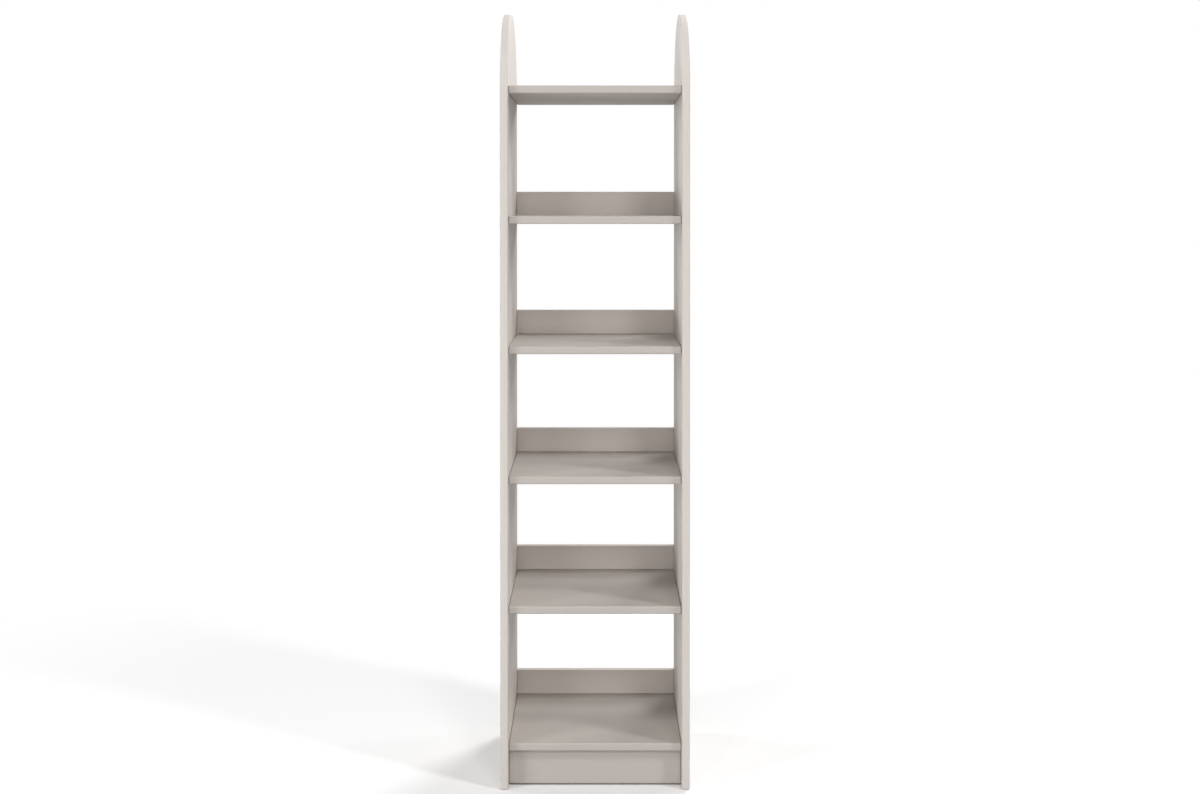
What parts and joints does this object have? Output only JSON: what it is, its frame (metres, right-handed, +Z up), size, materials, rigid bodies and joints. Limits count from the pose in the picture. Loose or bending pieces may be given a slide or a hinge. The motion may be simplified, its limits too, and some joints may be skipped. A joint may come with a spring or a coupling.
{
  "type": "bookcase",
  "caption": "Tall, narrow open bookcase: shelves with low back rails fixed between side panels with half-round tops, over a plinth board.",
  "frame": {"origin": "on the floor, in the middle of the footprint", "axes": "+Z up, +Y to the rear, so the front faces -Y, and +X to the right as seen from the front"},
  "size_m": [0.43, 0.4, 1.78],
  "materials": {
    "side_panels": "satin greige paint over solid board",
    "shelves": "satin greige paint over solid board",
    "back_rails": "satin greige paint over solid board",
    "plinth": "satin greige paint over solid board",
    "connector_screws": "zinc plated",
    "dowels": "bare beech"
  },
  "bodies": {
    "root": {"side_panel_left": "side_panels", "side_panel_right": "side_panels", "shelf_1": "shelves", "shelf_2": "shelves", "shelf_3": "shelves", "shelf_4": "shelves", "shelf_5": "shelves", "shelf_6": "shelves", "back_rail_1": "back_rails", "back_rail_2": "back_rails", "back_rail_3": "back_rails", "back_rail_4": "back_rails", "back_rail_5": "back_rails", "plinth_board": "plinth", "shelf_1_screw_front_left": "connector_screws", "shelf_1_screw_front_right": "connector_screws", "shelf_1_screw_rear_left": "connector_screws", "shelf_1_screw_rear_right": "connector_screws", "shelf_2_screw_front_left": "connector_screws", "shelf_2_screw_front_right": "connector_screws", "shelf_2_screw_rear_left": "connector_screws", "shelf_2_screw_rear_right": "connector_screws", "shelf_3_screw_front_left": "connector_screws", "shelf_3_screw_front_right": "connector_screws", "shelf_3_screw_rear_left": "connector_screws", "shelf_3_screw_rear_right": "connector_screws", "shelf_4_screw_front_left": "connector_screws", "shelf_4_screw_front_right": "connector_screws", "shelf_4_screw_rear_left": "connector_screws", "shelf_4_screw_rear_right": "connector_screws", "shelf_5_screw_front_left": "connector_screws", "shelf_5_screw_front_right": "connector_screws", "shelf_5_screw_rear_left": "connector_screws", "shelf_5_screw_rear_right": "connector_screws", "shelf_6_screw_front_left": "connector_screws", "shelf_6_screw_front_right": "connector_screws", "shelf_6_screw_rear_left": "connector_screws", "shelf_6_screw_rear_right": "connector_screws", "back_rail_1_dowel_left": "dowels", "back_rail_1_dowel_right": "dowels", "back_rail_2_dowel_left": "dowels", "back_rail_2_dowel_right": "dowels", "back_rail_3_dowel_left": "dowels", "back_rail_3_dowel_right": "dowels", "back_rail_4_dowel_left": "dowels", "back_rail_4_dowel_right": "dowels", "back_rail_5_dowel_left": "dowels", "back_rail_5_dowel_right": "dowels", "plinth_dowel_lower_left": "dowels", "plinth_dowel_lower_right": "dowels", "plinth_dowel_upper_left": "dowels", "plinth_dowel_upper_right": "dowels"}
  },
  "joints": []
}
